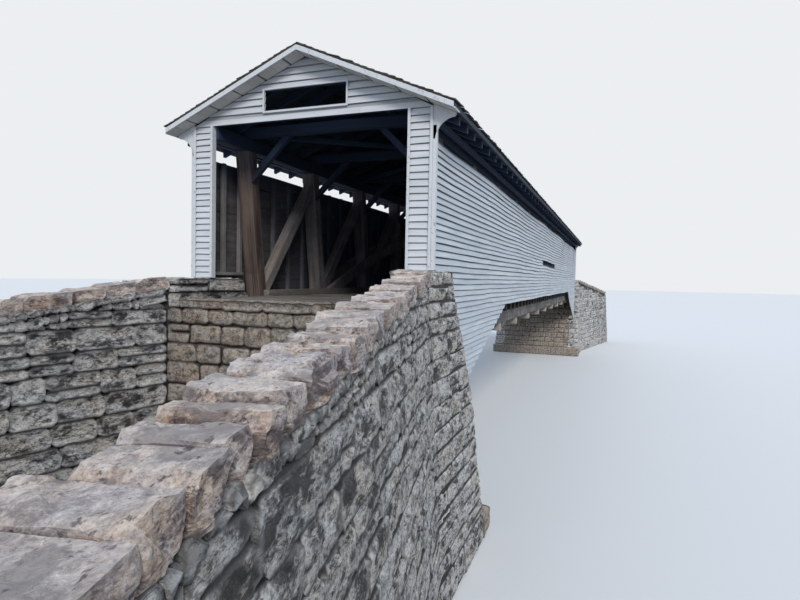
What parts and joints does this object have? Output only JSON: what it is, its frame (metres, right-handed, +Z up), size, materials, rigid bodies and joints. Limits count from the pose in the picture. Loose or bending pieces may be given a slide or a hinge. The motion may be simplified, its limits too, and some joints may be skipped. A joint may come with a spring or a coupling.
{
  "type": "scale model of a covered timber bridge, at 1:2",
  "caption": "Covered timber road bridge at 1:2: white boarded house with braced arch trusses on stone abutments with splayed wing walls and large capstones.",
  "frame": {"origin": "midspan on the bridge's centre line, at the foot of the masonry", "axes": "+Y along the road towards the far portal, +X to the right seen from the near portal, +Z up"},
  "size_m": [5.1502, 29.449, 5.032],
  "materials": {
    "coursed_limestone": "squared limestone in courses, weathered grey and tan with dark stains",
    "rubble_limestone": "rough limestone rubble laid in mortar, grey with tan and black patches",
    "capstone": "large rough limestone slabs with worn edges",
    "white_clapboard": "white painted lapped boards, slightly weathered",
    "white_trim": "white painted boards",
    "wood_shingle": "weathered grey-brown wood shingles with ragged edges",
    "deck_timber": "worn grey oak planks",
    "dark_timber": "old unpainted oak, dark brown",
    "hewn_timber": "rough hewn oak, grey-brown with drying cracks"
  },
  "bodies": {
    "root": {"near_abutment": "coursed_limestone", "far_abutment": "coursed_limestone", "near_left_wing_wall": "rubble_limestone", "near_right_wing_wall": "rubble_limestone", "far_left_wing_wall": "rubble_limestone", "far_right_wing_wall": "rubble_limestone", "near_left_capstones": "capstone", "near_right_capstones": "capstone", "far_left_capstones": "capstone", "far_right_capstones": "capstone", "left_lower_chord": "hewn_timber", "right_lower_chord": "hewn_timber", "left_upper_chord": "hewn_timber", "right_upper_chord": "hewn_timber", "left_posts": "hewn_timber", "right_posts": "hewn_timber", "left_braces": "hewn_timber", "right_braces": "hewn_timber", "left_arch": "hewn_timber", "right_arch": "hewn_timber", "floor_beams": "dark_timber", "floor_joists": "dark_timber", "deck_planks": "deck_timber", "tie_beams": "dark_timber", "knee_braces": "dark_timber", "upper_lateral_braces": "dark_timber", "left_rafters": "dark_timber", "right_rafters": "dark_timber", "wall_plates": "dark_timber", "left_studs": "dark_timber", "right_studs": "dark_timber", "left_siding": "white_clapboard", "right_siding": "white_clapboard", "near_left_pier": "white_clapboard", "near_right_pier": "white_clapboard", "near_gable": "white_clapboard", "far_left_pier": "white_clapboard", "far_right_pier": "white_clapboard", "far_gable": "white_clapboard", "near_portal_trim": "white_trim", "far_portal_trim": "white_trim", "rake_boards": "white_trim", "left_roof": "wood_shingle", "right_roof": "wood_shingle", "ridge_boards": "wood_shingle"}
  },
  "joints": []
}
